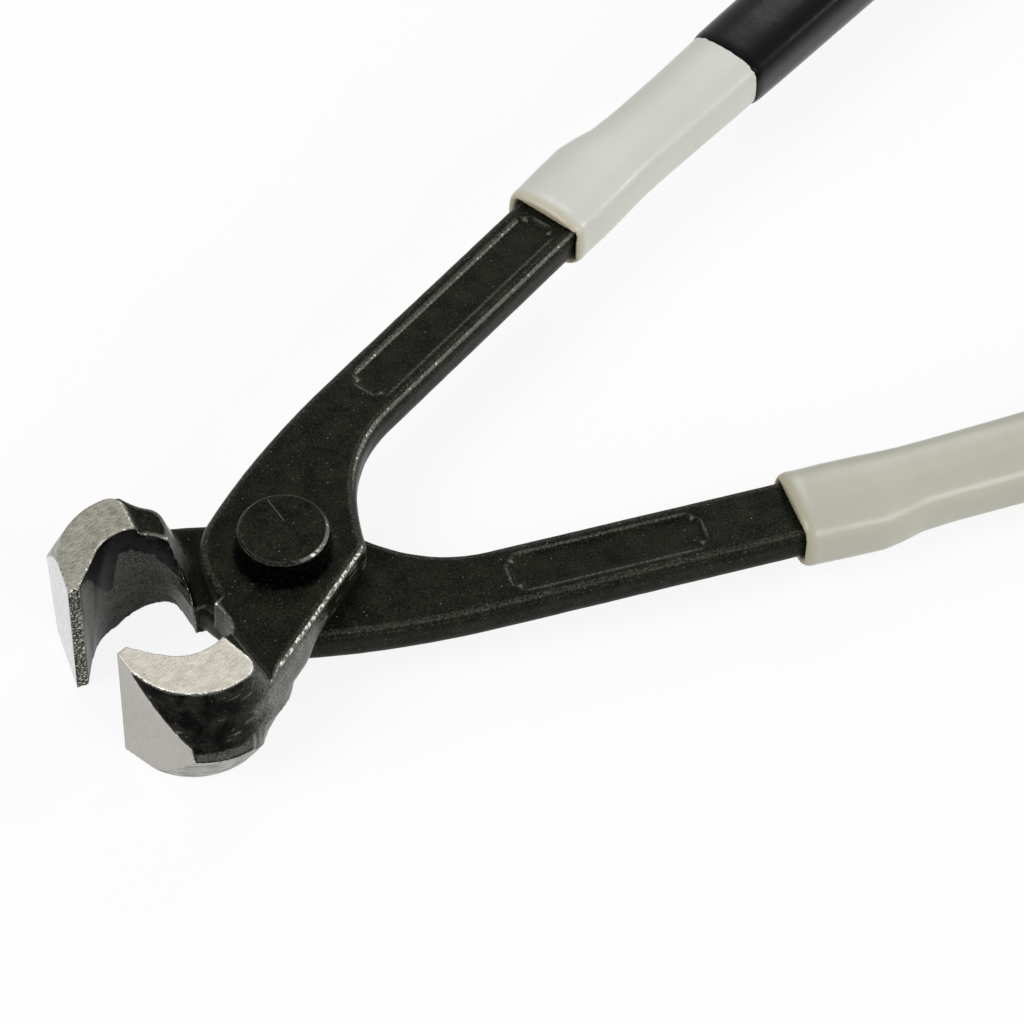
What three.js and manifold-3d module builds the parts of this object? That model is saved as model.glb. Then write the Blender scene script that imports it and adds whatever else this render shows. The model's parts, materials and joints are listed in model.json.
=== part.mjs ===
// Rebar tying pliers: two drop-forged halves with end-cutting jaws, lapped at a riveted joint,
// with a grey and a black dipped vinyl sleeve on each handle.
// Millimetres, +Z up. The handles point along +X, the jaws along -X, and the joint turns about Z.
// The tool is shown part-open. Each half is drawn in its own closed pose, where the cutting edges
// meet on the line y = 0, with its plate above the lap plane, its jaw at -Y and its arm at +Y.
import * as THREE from "three";
import { mergeVertices } from "three/addons/utils/BufferGeometryUtils.js";
import Module from "manifold-3d";

const wasm = await Module();
wasm.setup();

// Joint and lap
const openingAngle = 22.6; // degrees between the jaws, from edges meeting to the pose shown
const lapGap = 0.3; // running gap between the two plates
const seatGap = 0.3; // gap round what is seated
const pivotGap = 0.08; // the halves turn on the rivet with this much round it
const plateTop = 5.75; // lap plane to the outside of a plate
const discRadius = 12.1; // round part of the plate about the joint
const neckRadius = 10.3; // joint axis to the straight edge that runs out to the jaw
const neckRun = 6; // how far that edge runs on past its nearest point
const cheekReach = 13.4; // joint axis to the plate's corner at the mouth
const cheekDrop = 1.6; // that corner below the closing line

// Rivet
const shankRadius = 4;
const headRadius = 6.6;
const headHeight = 3.9;
const headChamfer = 0.45;
const tailRadius = 6.1;
const tailHeight = 2.4;
const tailChamfer = 0.9;

// Jaw
const jawHalfWidth = 11.2; // lap plane to each ground side face
const noseReach = 32.1; // joint axis to the cutting edge
const landWidth = 1.7; // flat behind the cutting edge, where the jaws meet
const mouthRadius = 7.6; // at the ground face by the plate
const mouthTaper = 1.1; // how much tighter the mouth is at the other face
const mouthInset = 10.9; // cutting edge to the middle of the mouth
const mouthSide = 0.9; // middle of the mouth outside the closing line
const partingHeight = -0.5; // where the two dies met, from the lap plane
const bandHeight = -3; // fullest level of the flank, where the ground band begins at the nose
const bevelAngle = 5; // degrees that the ground nose falls back from square
const upperRoll = 17; // degrees that hand grinding tilts it the other way at the plate's side
const lowerRoll = 0;
const flankRadius = 13.4; // of the forged flank at its fullest level
const noseSpare = 1.5; // metal in front of the edge before the nose is ground
const flankStart = 184; // degrees round the jaw's circle where the flank leaves the nose
const flankEnd = 352; // degrees round the jaw's circle where the flank ends at the joint

// Rear ends of the ground faces: each half's own on the plate's side, one on the other side, and
// the shoulder behind that. The length is from the cutting edge to the face's rear end. Below the
// face the end slopes out by the flare, and by the fan more at the mouth.
const upperEnd = { length: 12.3, corner: 2.2, flare: 2.4, fan: 4.2 };
const lowerEnd = { length: 9.1, corner: 2.2, flare: 8, fan: 0 };
const backEnd = { length: 12.7, corner: 2.3, flare: 0.5, fan: 0 };
const shoulderDepth = 9.6; // lap plane to the top of the shoulder
const shoulderHead = { x: -17.7, y: -8.7, radius: 2.8 }; // the shoulder's corner, at its top
const shoulderFoot = { x: -17, y: -10.5, radius: 5 }; // and at the lap
const shoulderStart = 264; // degrees round the flank where it turns in towards the shoulder
const shoulderEdge = 300; // degrees round its corner where that turn ends
const shoulderPull = 3.2; // of the turn's curve, at both ends
const clearRadius = 13.8; // joint axis to the hollow that clears the other plate, at the lap
const clearFlare = 2.4; // how much wider the hollow is at the shoulder

// Arm
const armRootX = 28; // where the arm becomes straight
const armRootY = 12.6;
const armSlope = 6.1; // degrees away from the closing line
const armWidth = 11.1;
const armLength = 51; // from its root to the end that the grey sleeve hides
const edgeRound = 1.15; // rounding of the forged edges, across
const edgeDepth = 1.7; // and down the wall
const crotchRise = 8.2; // pulls of the curves at the crotch and at the shoulder of the arm
const crotchRun = 9.5;
const shoulderRun = 11;
const discStart = 109; // degrees round the joint where the arm's outer edge meets the round part
const discEnd = 158; // degrees where the round part ends at the mouth

// Cartouches, sunk panels with stepped corners
const panelWidth = 6.2;
const panelNotch = 1.1;
const panelDepth = 0.45;
const outerPanel = { start: 1, end: 1 }; // on the outside, up to this far before the grey sleeve
const lapPanel = { start: 1.6, length: 29 }; // on the lap side of the arm

// Handle
const sleeveLap = 7; // the grey sleeve covers this much of the arm's end
const gripLength = 195.4;
const gripSlope = 4.6; // degrees, at the sleeve's front
const gripEndSlope = 2.3;
const tangWidth = 9.4;
const tangHeight = 5.2;
const tangEndWidth = 8.4;
const tangRoot = 2; // the tang starts this far inside the arm's end
const tangStop = 9; // left free at the far end of the handle
const collarLength = 44;
const collarWidth = 14.3; // at its swell
const collarHeight = 10;
const collarShift = 0.75; // of the swell, away from the closing line
const spigotLength = 7; // grey sleeve's stretch under the black one
const spigotWidth = 11.5;
const spigotHeight = 8;
const gripWidth = 14.9;
const gripHeight = 11.8;

const overrun = 3; // how far a cut runs past the metal
const weld = 1e-4; // corners nearer than this are one corner

// Circles that the forged flank follows, level by level, and those of the cone that the band is
// ground to. Apart from the heights these are shares of the flank's radius, x from the cutting edge.
const flankShares = [
  { height: -jawHalfWidth, x: 0.791, y: -0.306, radius: 0.963 },
  { height: bandHeight, x: 0.784, y: -0.313, radius: 1 },
  { height: partingHeight, x: 0.784, y: -0.313, radius: 0.978 },
  { height: jawHalfWidth, x: 0.754, y: -0.381, radius: 0.806 },
];
const grindingShares = [
  { height: -jawHalfWidth, x: 0.828, y: -0.22, radius: 0.813 },
  { height: bandHeight, x: 0.816, y: -0.351, radius: 0.982 },
];

// Sleeve sections: shares of the sleeve's length, width, height and shift
const collarShares = [
  [0, 0.895, 0.88, 0.333],
  [0.011, 0.951, 0.95, 0.333],
  [0.036, 0.979, 0.99, 0.4],
  [0.159, 1, 1, 0.667],
  [0.284, 1, 0.99, 1],
  [0.352, 0.951, 0.97, 0.8],
  [0.432, 0.881, 0.95, 0.333],
  [0.545, 0.867, 0.94, 0.133],
  [0.773, 0.881, 0.95, 0],
  [1, 0.909, 0.98, 0],
];
const gripShares = [
  [0, 0.879, 0.839, 0],
  [0.009, 0.913, 0.873, 0],
  [0.052, 0.926, 0.898, 0],
  [0.276, 0.953, 0.949, 0],
  [0.546, 1, 1, 0],
  [0.817, 1, 1, 0],
  [0.932, 0.96, 0.966, 0],
  [0.97, 0.879, 0.881, 0],
  [0.99, 0.691, 0.695, 0],
  [1, 0.409, 0.407, 0],
];
const cornerShare = 0.6; // how far the plate's rounded corner leans towards the crotch
const crotchShare = 0.62; // lean of the crotch's curve as it leaves that corner
const boxShare = 3.2; // power of the sleeves' sections: 2 is an ellipse, more is boxier
const tangShare = 4;

const circleSteps = 96;
const ringSteps = 36;
const cornerSteps = 8;
const arcSteps = 16;
const edgeSteps = 3;
const flankLevels = 3;
const rollLevels = 9;

const radians = (degrees) => THREE.MathUtils.degToRad(degrees);
const polar = (radius, degrees, x = 0, y = 0) =>
  new THREE.Vector2(
    x + radius * Math.cos(radians(degrees)),
    y + radius * Math.sin(radians(degrees)),
  );

// Solids

function solid(geometry) {
  const bare = geometry.index ? geometry.toNonIndexed() : geometry.clone();
  bare.deleteAttribute("normal");
  bare.deleteAttribute("uv");
  const merged = mergeVertices(bare, weld);
  return new wasm.Manifold(
    new wasm.Mesh({
      numProp: 3,
      vertProperties: new Float32Array(merged.attributes.position.array),
      triVerts: new Uint32Array(merged.index.array),
    }),
  );
}

function geometryOf(manifold) {
  const mesh = manifold.getMesh();
  const geometry = new THREE.BufferGeometry();
  geometry.setAttribute("position", new THREE.BufferAttribute(mesh.vertProperties, 3));
  geometry.setIndex(new THREE.BufferAttribute(mesh.triVerts, 1));
  geometry.computeVertexNormals();
  return geometry;
}

// A closed solid through rings with equal numbers of points, counter-clockwise seen from the last.
function loft(rings) {
  const count = rings[0].length;
  const points = rings.flat();
  const faces = [];
  for (let k = 0; k + 1 < rings.length; k += 1) {
    for (let i = 0; i < count; i += 1) {
      const j = (i + 1) % count;
      const low = k * count;
      const high = low + count;
      faces.push(low + i, low + j, high + j);
      faces.push(low + i, high + j, high + i);
    }
  }
  const last = (rings.length - 1) * count;
  const origin = rings[0][0];
  const flat = (ring) => {
    const along = ring[Math.floor(count / 4)].clone().sub(ring[0]).normalize();
    const normal = ringNormal(ring);
    const across = normal.clone().cross(along);
    return ring.map((p) => {
      const offset = p.clone().sub(origin);
      return new THREE.Vector2(offset.dot(along), offset.dot(across));
    });
  };
  for (const [a, b, c] of THREE.ShapeUtils.triangulateShape(flat(rings[0]), [])) {
    faces.push(c, b, a);
  }
  for (const [a, b, c] of THREE.ShapeUtils.triangulateShape(flat(rings.at(-1)), [])) {
    faces.push(last + a, last + b, last + c);
  }
  const geometry = new THREE.BufferGeometry().setFromPoints(points);
  geometry.setIndex(faces);
  return solid(geometry);
}

function ringNormal(ring) {
  const normal = new THREE.Vector3();
  ring.forEach((p, i) => {
    const q = ring[(i + 1) % ring.length];
    normal.add(p.clone().cross(q));
  });
  return normal.normalize();
}

// A solid between flat outlines, each lying at its own height.
const layers = (outlines) =>
  loft(outlines.map(({ z, points }) => points.map((p) => new THREE.Vector3(p.x, p.y, z))));

const prism = (points, low, high) =>
  layers([
    { z: low, points },
    { z: high, points },
  ]);

function block(x0, x1, y0, y1, z0, z1) {
  const box = new THREE.BoxGeometry(x1 - x0, y1 - y0, z1 - z0);
  box.translate((x0 + x1) / 2, (y0 + y1) / 2, (z0 + z1) / 2);
  return solid(box);
}

function frustum(x, y, lowRadius, highRadius, low, high) {
  const cone = new THREE.CylinderGeometry(highRadius, lowRadius, high - low, circleSteps);
  cone.rotateX(Math.PI / 2);
  cone.translate(x, y, (low + high) / 2);
  return solid(cone);
}

// Jaw

const jawCircles = (shares) =>
  shares.map(({ height, x, y, radius }) => ({
    z: height,
    x: x * flankRadius - noseReach,
    y: y * flankRadius,
    radius: radius * flankRadius,
  }));
const flank = jawCircles(flankShares);
const grinding = jawCircles(grindingShares);
const mouthCentre = noseReach - mouthInset;

function circleAt(levels, z) {
  const top = levels.findIndex((level) => level.z >= z);
  const upper = levels[top < 0 ? levels.length - 1 : Math.max(top, 1)];
  const lower = levels[levels.indexOf(upper) - 1];
  const share = (z - lower.z) / (upper.z - lower.z);
  const mix = (key) => THREE.MathUtils.lerp(lower[key], upper[key], share);
  return { x: mix("x"), y: mix("y"), radius: mix("radius") };
}

// The flank at one level: from the nose round the jaw's circle to the side of the joint.
function flankOutline({ x, y, radius }) {
  const points = [new THREE.Vector2(-noseReach - noseSpare, overrun)];
  const steps = circleSteps / 2;
  for (let i = 0; i <= steps; i += 1) {
    points.push(polar(radius, THREE.MathUtils.lerp(flankStart, flankEnd, i / steps), x, y));
  }
  points.push(new THREE.Vector2(points.at(-1).x, overrun));
  return points;
}

const turned = (levels, heights) =>
  layers(heights.map((z) => ({ z, points: flankOutline(circleAt(levels, z)) })));

// The mouth: a round hollow that runs out to the land in a straight flank.
function mouthOutline(radius) {
  const apex = new THREE.Vector2(landWidth - noseReach, 0);
  const away = apex.clone().sub(new THREE.Vector2(-mouthCentre, -mouthSide));
  const touch =
    THREE.MathUtils.radToDeg(Math.atan2(away.y, away.x) + Math.acos(radius / away.length()));
  const points = [apex];
  const steps = circleSteps / 2;
  for (let i = 0; i <= steps; i += 1) {
    points.push(
      polar(radius, THREE.MathUtils.lerp(touch, 360, i / steps), -mouthCentre, -mouthSide),
    );
  }
  points.push(new THREE.Vector2(radius - mouthCentre, overrun * 2));
  points.push(new THREE.Vector2(apex.x, overrun * 2));
  return points;
}

function mouth() {
  const reach = jawHalfWidth + overrun;
  const radiusAt = (z) => mouthRadius - mouthTaper * (0.5 - z / (2 * jawHalfWidth));
  return layers([-reach, reach].map((z) => ({ z, points: mouthOutline(radiusAt(z)) })));
}

// What grinding takes off the nose. By hand the face rolls a little near the plate's side.
function noseGrinding(roll) {
  const depth = 2 * flankRadius;
  const ring = (z) => {
    const lean = radians(bevelAngle - roll * THREE.MathUtils.clamp(z / jawHalfWidth, 0, 1));
    const points = [];
    for (let i = 0; i <= arcSteps; i += 1) {
      const y = THREE.MathUtils.lerp(-depth, overrun, i / arcSteps);
      points.push(new THREE.Vector2(-noseReach - y * Math.tan(lean), y));
    }
    points.push(new THREE.Vector2(-noseReach - depth, overrun));
    points.push(new THREE.Vector2(-noseReach - depth, -depth));
    return points;
  };
  const levels = [-jawHalfWidth - overrun, 0];
  for (let i = 1; i <= rollLevels; i += 1) {
    levels.push((jawHalfWidth * i) / rollLevels);
  }
  levels.push(jawHalfWidth + overrun);
  return layers(levels.map((z) => ({ z, points: ring(z) })));
}

// Metal cleared behind a ground face: its rear end is straight, with a rounded outer corner.
function endCut({ length, corner, flare, fan }, circles, from, to) {
  const ring = (z, share) => {
    const face = circleAt(circles, z);
    const x = length - noseReach + flare * share - corner;
    const lean = -Math.acos((x - face.x) / (face.radius - corner));
    const y = face.y + (face.radius - corner) * Math.sin(lean);
    const points = [new THREE.Vector2(x + corner + fan * share, 2 * overrun)];
    for (let i = 0; i <= cornerSteps; i += 1) {
      const angle = (THREE.MathUtils.radToDeg(lean) * i) / cornerSteps;
      points.push(polar(corner, angle, x, y));
    }
    points.push(new THREE.Vector2(points.at(-1).x, -2 * flankRadius));
    points.push(new THREE.Vector2(overrun, -2 * flankRadius));
    points.push(new THREE.Vector2(overrun, 2 * overrun));
    return points;
  };
  const past = to + Math.sign(to) * overrun;
  const rings = [
    { z: from, points: ring(from, 1) },
    { z: to, points: ring(to, 0) },
    { z: past, points: ring(to, 0) },
  ];
  return layers(to > from ? rings : rings.reverse());
}

// Metal cleared behind the shoulder, which turns in from the flank to a blunt rounded corner.
function shoulderCut() {
  const ring = (z, { x, y, radius }) => {
    const side = circleAt(flank, z);
    const start = polar(side.radius, shoulderStart, side.x, side.y);
    const startPull = polar(shoulderPull, shoulderStart + 90, start.x, start.y);
    const end = polar(radius, shoulderEdge, x, y);
    const endPull = polar(shoulderPull, shoulderEdge - 90, end.x, end.y);
    const blend = new THREE.CubicBezierCurve(start, startPull, endPull, end);
    const points = blend.getPoints(cornerSteps);
    for (let i = 1; i <= cornerSteps; i += 1) {
      const angle = THREE.MathUtils.lerp(shoulderEdge, 360, i / cornerSteps);
      points.push(polar(radius, angle, x, y));
    }
    points.push(new THREE.Vector2(points.at(-1).x, 2 * overrun));
    points.push(new THREE.Vector2(overrun, 2 * overrun));
    points.push(new THREE.Vector2(overrun, -2 * flankRadius));
    points.push(new THREE.Vector2(points[0].x, -2 * flankRadius));
    return points.reverse();
  };
  return layers([
    { z: -jawHalfWidth - overrun, points: ring(-jawHalfWidth, shoulderHead) },
    { z: -shoulderDepth, points: ring(-shoulderDepth, shoulderHead) },
    { z: lapGap / 2, points: ring(lapGap / 2, shoulderFoot) },
  ]);
}

function jaw({ roll, end }) {
  const heights = [-jawHalfWidth, bandHeight];
  for (let i = 0; i <= flankLevels; i += 1) {
    heights.push(THREE.MathUtils.lerp(partingHeight, jawHalfWidth, i / flankLevels));
  }
  const hollow = frustum(
    0, 0, clearRadius + clearFlare, clearRadius, -shoulderDepth, lapGap / 2,
  ).add(
    frustum(
      0, 0, clearRadius + clearFlare, clearRadius + clearFlare,
      -jawHalfWidth - overrun, -shoulderDepth,
    ),
  );
  const landCut = block(
    -noseReach - overrun, discRadius, -lapGap / 2, overrun * 2,
    -jawHalfWidth - overrun, jawHalfWidth + overrun,
  );
  return turned(flank, heights)
    .intersect(turned(grinding, [-jawHalfWidth - overrun, jawHalfWidth + overrun]))
    .subtract(hollow)
    .subtract(shoulderCut())
    .subtract(endCut(end, flank, plateTop, jawHalfWidth))
    .subtract(endCut(backEnd, grinding, -shoulderDepth, -jawHalfWidth))
    .subtract(noseGrinding(roll))
    .subtract(landCut);
}

// Plate and arm

const armTangent = new THREE.Vector2(Math.cos(radians(armSlope)), Math.sin(radians(armSlope)));
const armNormal = new THREE.Vector2(-armTangent.y, armTangent.x);
const onArm = (along, across) =>
  new THREE.Vector2(armRootX, armRootY)
    .addScaledVector(armTangent, along)
    .addScaledVector(armNormal, across);

function plateShape() {
  const jawCircle = circleAt(flank, plateTop);
  const gap = Math.hypot(jawCircle.x, jawCircle.y);
  const lean = Math.acos((jawCircle.radius - neckRadius) / gap);
  const neckTouch = THREE.MathUtils.radToDeg(Math.atan2(-jawCircle.y, -jawCircle.x) - lean);
  const edge = polar(1, neckTouch + 90);
  const jawEnd = polar(jawCircle.radius, neckTouch, jawCircle.x, jawCircle.y);
  const corner = polar(neckRadius, neckTouch).addScaledVector(edge, neckRun);
  const armInner = onArm(0, -armWidth / 2);
  const armOuter = onArm(0, armWidth / 2);
  const roundStart = polar(discRadius, discStart);
  const roundRun = polar(shoulderRun, discStart - 90);
  const cheek = new THREE.Vector2(-cheekReach, -cheekDrop);
  const shape = new THREE.Shape();
  shape.moveTo(jawEnd.x, jawEnd.y);
  shape.lineTo(corner.x - edge.x * edgeRound, corner.y - edge.y * edgeRound);
  shape.quadraticCurveTo(
    corner.x, corner.y, corner.x + edgeRound * cornerShare, corner.y + edgeRound,
  );
  shape.bezierCurveTo(
    corner.x + crotchRise * crotchShare, corner.y + crotchRise,
    armInner.x - armTangent.x * crotchRun, armInner.y - armTangent.y * crotchRun,
    armInner.x, armInner.y,
  );
  const endInner = onArm(armLength, -armWidth / 2);
  const endOuter = onArm(armLength, armWidth / 2);
  shape.lineTo(endInner.x, endInner.y);
  shape.lineTo(endOuter.x, endOuter.y);
  shape.lineTo(armOuter.x, armOuter.y);
  shape.bezierCurveTo(
    armOuter.x - armTangent.x * shoulderRun, armOuter.y - armTangent.y * shoulderRun,
    roundStart.x + roundRun.x, roundStart.y + roundRun.y,
    roundStart.x, roundStart.y,
  );
  shape.absarc(0, 0, discRadius, radians(discStart), radians(discEnd), false);
  shape.lineTo(cheek.x, cheek.y);
  shape.lineTo(jawCircle.x, jawCircle.y);
  return shape;
}

function plate() {
  const base = lapGap / 2;
  const geometry = new THREE.ExtrudeGeometry(plateShape(), {
    depth: plateTop - base - 2 * edgeDepth,
    curveSegments: arcSteps,
    bevelEnabled: true,
    bevelThickness: edgeDepth,
    bevelSize: edgeRound,
    bevelOffset: -edgeRound,
    bevelSegments: edgeSteps,
  });
  geometry.translate(0, 0, base + edgeDepth);
  return solid(geometry);
}

// A cartouche's outline, a long panel whose corners are stepped in.
function panelOutline(start, length) {
  const outer = panelWidth / 2;
  const inner = outer - panelNotch;
  const corners = [];
  for (const [end, way] of [[start, 1], [start + length, -1]]) {
    const steps = [
      [0, -inner], [0, inner], [panelNotch, inner], [panelNotch, outer],
    ].map(([along, across]) => [end + way * along, across]);
    const lead = [panelNotch, -outer];
    const foot = [panelNotch, -inner];
    const stepped = [
      [end + way * lead[0], lead[1]], [end + way * foot[0], foot[1]], ...steps,
    ];
    corners.push(...(way > 0 ? stepped.reverse() : stepped));
  }
  return corners.map(([along, across]) => onArm(along, across));
}

// Handle

const gripStart = armLength - sleeveLap; // arm root to the front of the grey sleeve
const handleStart = onArm(gripStart, 0);
const handleCurve = (() => {
  const half = gripLength / 2;
  const middle = handleStart.clone().add(polar(half, gripSlope));
  const end = middle.clone().add(polar(half, gripEndSlope));
  const lift = (p) => new THREE.Vector3(p.x, p.y, 0);
  return new THREE.QuadraticBezierCurve3(lift(handleStart), lift(middle), lift(end));
})();
const handleHeight = (lapGap / 2 + plateTop) / 2;

// A boxy ring round the handle's axis, some way from the sleeve's front.
function handleRing({ at, width, height, out }, power, steps = ringSteps) {
  const whole = handleCurve.getLength();
  const share = THREE.MathUtils.clamp(at / whole, 0, 1);
  const centre = handleCurve.getPointAt(share);
  const along = handleCurve.getTangentAt(share);
  centre.addScaledVector(along, at - share * whole);
  const across = new THREE.Vector3(-along.y, along.x, 0);
  const up = new THREE.Vector3(0, 0, 1);
  const round = (value) => Math.sign(value) * Math.abs(value) ** (2 / power);
  const ring = [];
  for (let i = 0; i < steps; i += 1) {
    const turn = (2 * Math.PI * (i + 0.5)) / steps;
    const point = centre.clone();
    point.z = handleHeight;
    point.addScaledVector(across, out + (width / 2) * round(Math.cos(turn)));
    point.addScaledVector(up, (height / 2) * round(Math.sin(turn)));
    ring.push(point);
  }
  return ring;
}

const tube = (sections, power) => loft(sections.map((section) => handleRing(section, power)));

const grown = (section, by) => ({
  ...section,
  width: section.width + 2 * by,
  height: section.height + 2 * by,
});

// Sections of a sleeve from one place on the handle to another.
const stations = (shares, from, to, width, height, shift) =>
  shares.map(([along, wide, high, out]) => ({
    at: THREE.MathUtils.lerp(from, to, along),
    width: wide * width,
    height: high * height,
    out: out * shift,
  }));

const tangStations = [
  { at: sleeveLap - tangRoot, width: tangWidth, height: tangHeight, out: 0 },
  { at: gripLength - tangStop, width: tangEndWidth, height: tangHeight, out: 0 },
];

function half(grind) {
  const reach = jawHalfWidth + overrun;
  const outerLength = gripStart - outerPanel.start - outerPanel.end;
  const outer = prism(
    panelOutline(outerPanel.start, outerLength), plateTop - panelDepth, plateTop + overrun,
  );
  const inner = prism(
    panelOutline(lapPanel.start, lapPanel.length), -overrun, lapGap / 2 + panelDepth,
  );
  return plate()
    .add(jaw(grind))
    .subtract(mouth())
    .add(tube(tangStations, tangShare))
    .subtract(frustum(0, 0, shankRadius + pivotGap, shankRadius + pivotGap, -reach, reach))
    .subtract(outer)
    .subtract(inner);
}

// The room that a sleeve leaves for the arm's end and the tang.
function sleeveRoom() {
  const room = tube(
    tangStations.map((section, i) => ({
      ...grown(section, seatGap),
      at: section.at + (i ? seatGap : 0),
    })),
    tangShare,
  );
  const side = armWidth / 2 + seatGap;
  const outline = [
    onArm(gripStart - overrun, -side),
    onArm(armLength + seatGap, -side),
    onArm(armLength + seatGap, side),
    onArm(gripStart - overrun, side),
  ];
  return room.add(prism(outline, lapGap / 2 - seatGap, plateTop + seatGap));
}

// The grey sleeve's thinner end, which the black sleeve covers.
const spigot = (stop, spare) =>
  tube(
    [collarLength - overrun, stop].map((at) =>
      grown({ at, width: spigotWidth, height: spigotHeight, out: 0 }, spare),
    ),
    boxShare,
  );

function collar() {
  const sections = stations(
    collarShares, 0, collarLength, collarWidth, collarHeight, collarShift,
  );
  return tube(sections, boxShare)
    .add(spigot(collarLength + spigotLength, 0))
    .subtract(sleeveRoom());
}

function grip() {
  const sections = stations(
    gripShares, collarLength + seatGap, gripLength, gripWidth, gripHeight, 0,
  );
  return tube(sections, boxShare)
    .subtract(sleeveRoom())
    .subtract(spigot(collarLength + spigotLength + seatGap, seatGap));
}

function rivet() {
  const top = plateTop + seatGap;
  const tail = -plateTop - seatGap;
  const profile = [
    [0, tail - tailHeight],
    [tailRadius - tailChamfer, tail - tailHeight],
    [tailRadius, tail - tailHeight + tailChamfer],
    [tailRadius, tail],
    [shankRadius, tail],
    [shankRadius, top],
    [headRadius, top],
    [headRadius, top + headHeight - headChamfer],
    [headRadius - headChamfer, top + headHeight],
    [0, top + headHeight],
  ].map(([radius, height]) => new THREE.Vector2(radius, height));
  const geometry = new THREE.LatheGeometry(profile, circleSteps / 2);
  geometry.rotateX(Math.PI / 2);
  return solid(geometry);
}

// Assembly

const forgedPaint = new THREE.MeshStandardMaterial({
  color: "#23241f", roughness: 0.42, metalness: 0.15,
});
const greyVinyl = new THREE.MeshStandardMaterial({
  color: "#c4c5bd", roughness: 0.5, metalness: 0,
});
const blackVinyl = new THREE.MeshStandardMaterial({
  color: "#1d1e1d", roughness: 0.4, metalness: 0,
});

function node(name, manifold, material) {
  const mesh = new THREE.Mesh(geometryOf(manifold), material);
  mesh.name = name;
  return mesh;
}

function halfAssembly(prefix, grind, pose) {
  const group = new THREE.Group();
  group.add(node(`${prefix}_half`, half(grind), forgedPaint));
  group.add(node(`${prefix}_grip_collar`, collar(), greyVinyl));
  group.add(node(`${prefix}_grip_sleeve`, grip(), blackVinyl));
  group.rotation.copy(pose);
  return group;
}

const turn = radians(openingAngle / 2);
const pliers = new THREE.Group();
pliers.name = "rebar_tying_pliers";
pliers.position.z = plateTop + seatGap + tailHeight; // the rivet's tail face is at height zero
const upperGrind = { roll: upperRoll, end: upperEnd };
const lowerGrind = { roll: lowerRoll, end: lowerEnd };
pliers.add(halfAssembly("upper", upperGrind, new THREE.Euler(0, 0, turn)));
pliers.add(halfAssembly("lower", lowerGrind, new THREE.Euler(Math.PI, 0, -turn, "ZXY")));
pliers.add(node("pivot_rivet", rivet(), forgedPaint));

const part = new THREE.Group();
part.add(pliers);

export default part;
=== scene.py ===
"""Rebar tying pliers: black enamel over forged steel, ground jaws and dipped vinyl sleeves."""

import json
import math

import bmesh
import bpy
import numpy as np
from mathutils import Matrix, Vector, noise
from mathutils.bvhtree import BVHTree
from mathutils.kdtree import KDTree


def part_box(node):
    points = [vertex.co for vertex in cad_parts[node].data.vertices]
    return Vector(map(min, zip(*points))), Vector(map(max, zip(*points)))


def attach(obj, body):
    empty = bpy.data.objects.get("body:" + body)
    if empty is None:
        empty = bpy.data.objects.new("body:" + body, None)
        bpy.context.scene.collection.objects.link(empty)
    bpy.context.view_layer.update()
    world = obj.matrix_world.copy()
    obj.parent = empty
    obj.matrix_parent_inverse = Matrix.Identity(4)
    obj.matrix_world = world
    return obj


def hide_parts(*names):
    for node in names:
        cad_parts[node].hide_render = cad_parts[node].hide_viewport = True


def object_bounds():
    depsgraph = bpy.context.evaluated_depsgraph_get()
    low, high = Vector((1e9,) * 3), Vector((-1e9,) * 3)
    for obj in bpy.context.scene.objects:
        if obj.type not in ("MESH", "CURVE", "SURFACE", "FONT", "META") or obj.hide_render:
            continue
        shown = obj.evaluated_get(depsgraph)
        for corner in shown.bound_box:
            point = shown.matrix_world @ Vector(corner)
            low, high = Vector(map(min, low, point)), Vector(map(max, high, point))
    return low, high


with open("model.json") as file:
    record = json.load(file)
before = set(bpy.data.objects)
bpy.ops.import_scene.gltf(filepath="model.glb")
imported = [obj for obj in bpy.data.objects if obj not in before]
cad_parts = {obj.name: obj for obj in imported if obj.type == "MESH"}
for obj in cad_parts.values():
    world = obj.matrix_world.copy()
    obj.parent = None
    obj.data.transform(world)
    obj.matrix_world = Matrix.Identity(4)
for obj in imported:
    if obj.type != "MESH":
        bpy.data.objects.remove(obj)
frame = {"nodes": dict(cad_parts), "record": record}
cad_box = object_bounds()
scene = bpy.context.scene
MM = 0.001

# What the frame says of the halves. Each is drawn here in its own closed pose, with its plate
# upwards, its jaw at -Y and the lap plane at height zero, in millimetres.
HINGE = frame["record"]["behaviour"]["joints"][0]
LAP = HINGE["pos_m"][2] / MM
HALF_TURN = math.radians(HINGE["range_deg"][1] / 2)
JAW_HALF = (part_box("upper_half")[1][2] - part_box("upper_half")[0][2]) / 2 / MM

# Skin counts as flat, or as upright, by how much of its direction is height
FLAT, UPRIGHT = 0.5, 0.6

# Size of the even faces that each piece is grown with, in millimetres, and the rounds that ease
# its corners
FACES = {"half": (0.27, 2), "collar": (0.3, 8), "sleeve": (0.45, 8), "rivet": (0.2, 3)}

# What the points of a painted piece carry for its material to read
MARKS = ("ground", "crest", "rubbed", "painted_sheen", "pooled", "scratch", "bevel", "band", "land", "seam")

# Ground faces of the jaws, in millimetres and degrees. A facet of the CAD belongs to one where it
# faces the right way and its corners lie close enough.
NOSE_REACH = 32.1
LAND_WIDTH = 1.7
BEVEL_ANGLE = 5
NOSE_ROLL = {"upper": 17, "lower": 0}
BAND_LEVELS = (-11.2, -3)
BAND_CIRCLES = ((-21.005, -2.948, 10.894), (-21.166, -4.703, 13.159))
SLACK = {"crescent": 0.1, "land": 0.2, "bevel": 0.06, "band": 0.12}
SQUARELY, FORWARDS, DOWNWARDS = 0.98, -0.7, -0.12

# Only this part of a half has ground faces. Their rims are followed in steps, the distance to
# them is kept up to a limit, and the dark seam between two of them has a width.
JAW_END = -5
RIM_STEP = 0.05
RIM_LIMIT = 2
SEAM_WIDTH = 0.3

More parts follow.
